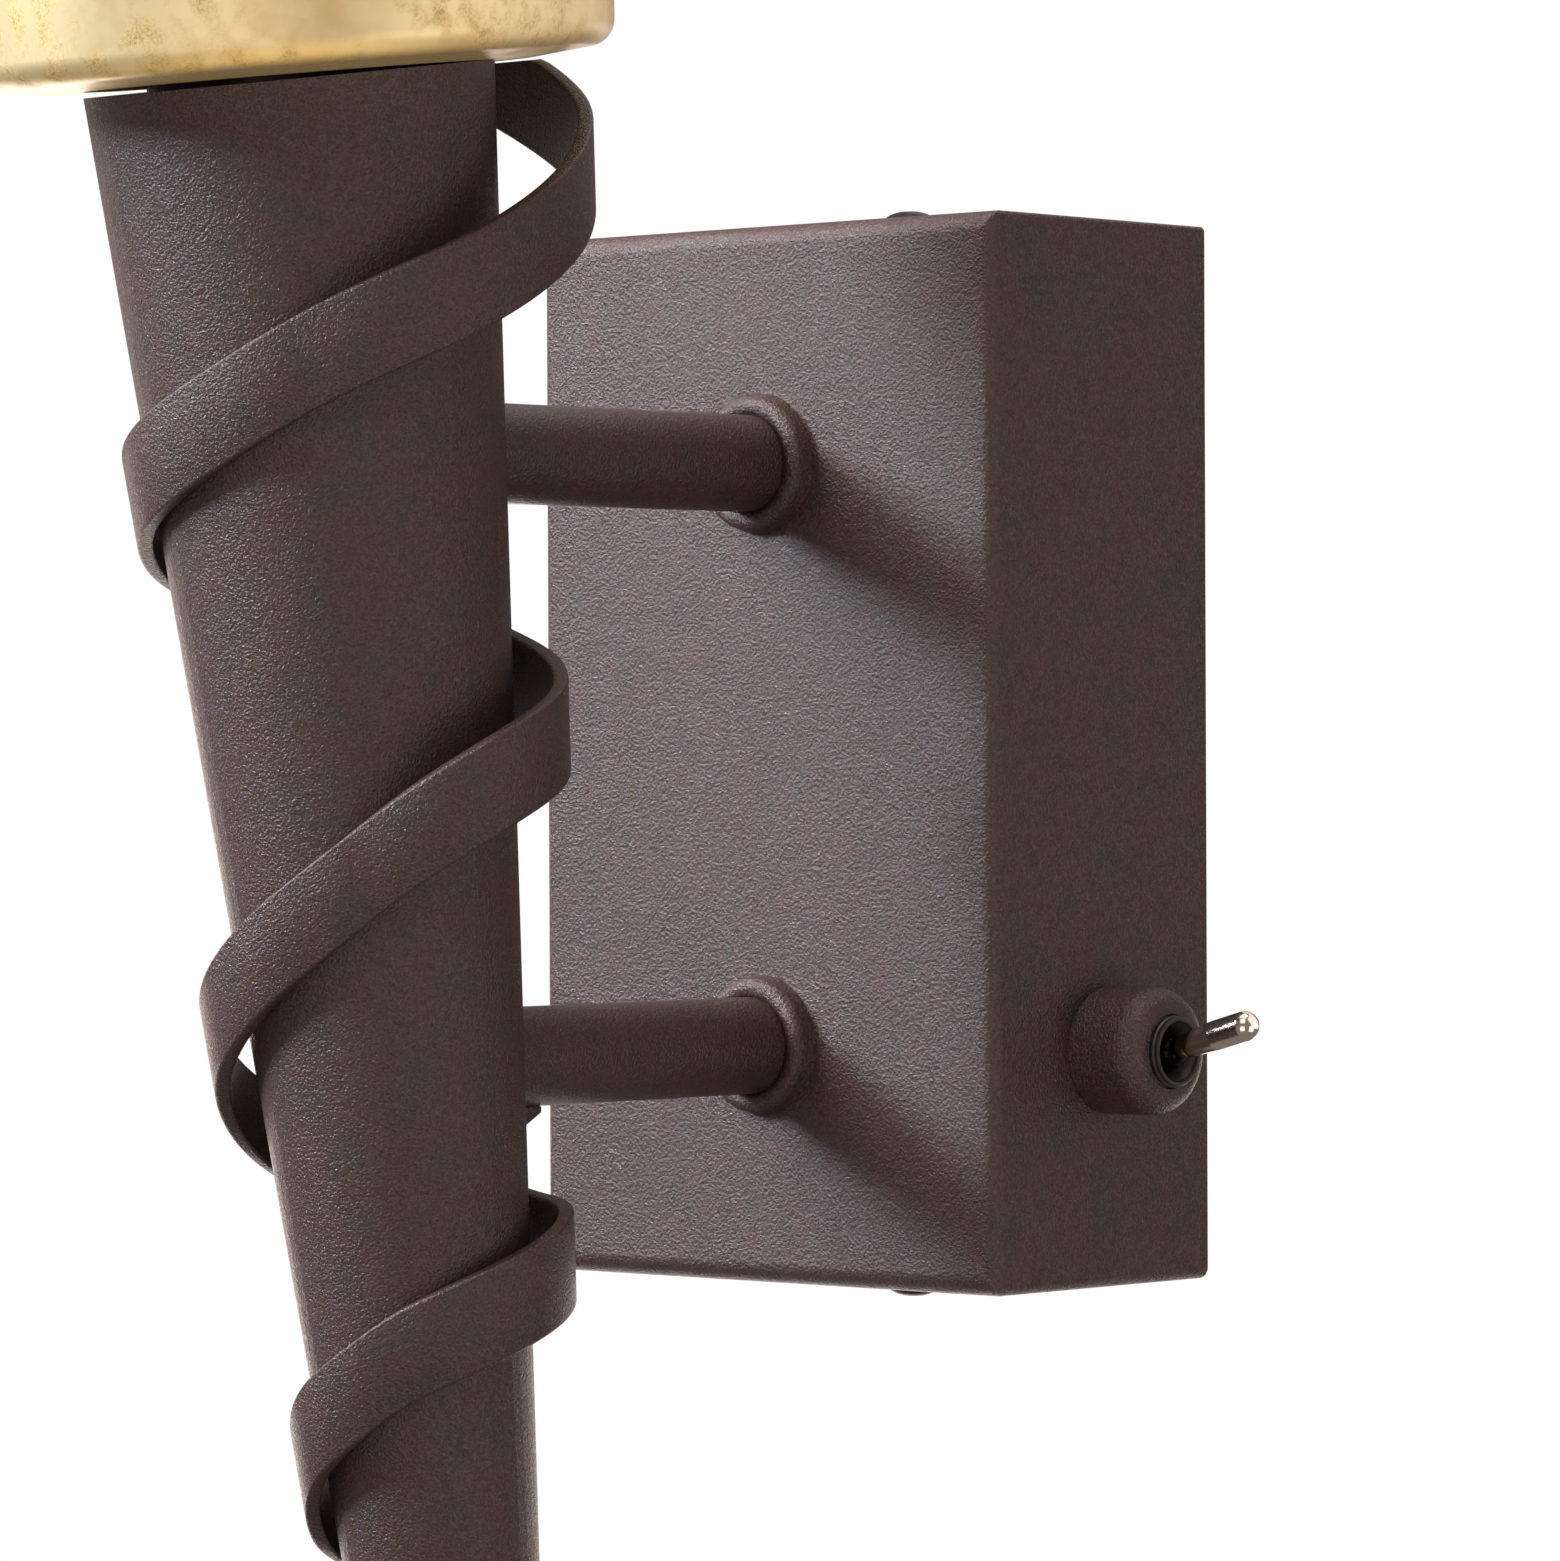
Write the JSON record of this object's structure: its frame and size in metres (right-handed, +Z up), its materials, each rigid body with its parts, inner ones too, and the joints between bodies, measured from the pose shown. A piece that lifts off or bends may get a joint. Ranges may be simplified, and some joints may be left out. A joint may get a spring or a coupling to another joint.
{
  "type": "torch sconce",
  "caption": "Wall light in the form of a leaning torch with a spiral ribbon and a gilded bowl, held by tube arms on a wall box with a toggle switch.",
  "frame": {"origin": "centre of the wall plane behind the box, midway between the two wall screw slots", "axes": "+Z up, +Y into the wall, +X out of the box's side that carries the switch"},
  "size_m": [0.1366, 0.227, 0.4492],
  "materials": {
    "bronze_powder": "dark bronze-brown textured powder coat",
    "gold_leaf": "pale gold leaf, lacquered, faintly mottled",
    "black_steel": "blackened steel, satin",
    "zinc_steel": "zinc-plated steel",
    "nickel": "polished nickel plate",
    "brass_parts": "turned brass",
    "black_plastic": "moulded black plastic",
    "black_rubber": "matt rubber",
    "white_plastic": "moulded white plastic",
    "white_ceramic": "glazed white ceramic",
    "bulb_glass": "clear glass",
    "led_strip": "yellow light chips on a pale post",
    "white_sheath": "white cable sheath",
    "brown_wire": "brown insulation",
    "black_wire": "black insulation",
    "blue_wire": "blue insulation",
    "green_wire": "green and yellow insulation"
  },
  "bodies": {
    "light": {"wall_bracket": "zinc_steel", "cable_grommet": "black_rubber", "flange_nuts": "zinc_steel", "wall_cover": "bronze_powder", "cover_screws": "black_steel", "cover_screw_washers": "black_steel", "upper_arm": "bronze_powder", "lower_arm": "bronze_powder", "arm_weld_rings": "bronze_powder", "arm_gusset": "bronze_powder", "torch_body": "bronze_powder", "torch_tip": "bronze_powder", "torch_cap": "bronze_powder", "spiral_ribbon": "bronze_powder", "bowl_neck": "black_steel", "gold_bowl": "gold_leaf", "threaded_tube": "brass_parts", "tube_nuts": "brass_parts", "bowl_washer": "zinc_steel", "lampholder_bracket": "zinc_steel", "lampholder": "white_ceramic", "lampholder_screws": "zinc_steel", "bulb_base": "white_ceramic", "bulb_glass": "bulb_glass", "bulb_leds": "led_strip", "switch_boss": "bronze_powder", "switch_bushing": "black_plastic", "switch_nut": "zinc_steel", "switch_body": "black_plastic", "switch_terminals": "brass_parts", "switch_pin": "zinc_steel", "terminal_block": "white_plastic", "terminal_tubes": "brass_parts", "terminal_screws": "zinc_steel", "terminal_fixing_screw": "zinc_steel", "earth_screw": "brass_parts", "lamp_cable": "white_sheath", "live_wire": "brown_wire", "switch_wire": "black_wire", "neutral_wire": "blue_wire", "earth_wire": "green_wire"},
    "lever": {"switch_lever": "nickel"}
  },
  "joints": [
    {"name": "switch_throw", "type": "hinge", "parent": "light", "child": "lever", "pos_m": [0.0625, -0.026, -0.0485], "axis": [0, 1, 0], "range_deg": [0, 31]}
  ]
}
